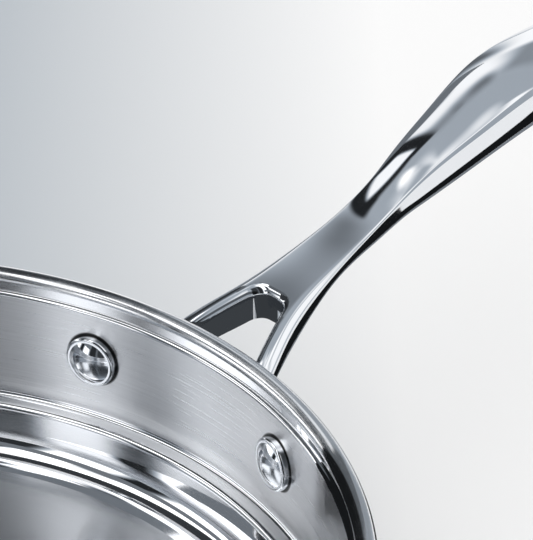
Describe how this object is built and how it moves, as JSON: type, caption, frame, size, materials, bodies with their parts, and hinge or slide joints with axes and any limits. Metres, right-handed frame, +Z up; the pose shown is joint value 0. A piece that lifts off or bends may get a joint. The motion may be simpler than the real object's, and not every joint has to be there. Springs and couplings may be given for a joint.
{
  "type": "braising pan",
  "caption": "Shallow round steel pan with a rolled rim, a stepped wall, a sandwich base and one long forked cast handle held on by rivets.",
  "frame": {"origin": "middle of the base's underside, on the pan's axis", "axes": "+Z up the pan's axis, +X out along the handle"},
  "size_m": [0.4659, 0.2798, 0.0929],
  "materials": {
    "satin_steel": "satin inside, brushed round the axis, with a polished rim and step",
    "base_steel": "turned satin",
    "polished_steel": "mirror polished casting",
    "rivet_steel": "mirror polished",
    "aluminium": "plain"
  },
  "bodies": {
    "root": {"pan_shell": "satin_steel", "heat_spreader": "aluminium", "base_cap": "base_steel", "handle": "polished_steel", "rivet_left": "rivet_steel", "rivet_right": "rivet_steel"}
  },
  "joints": []
}
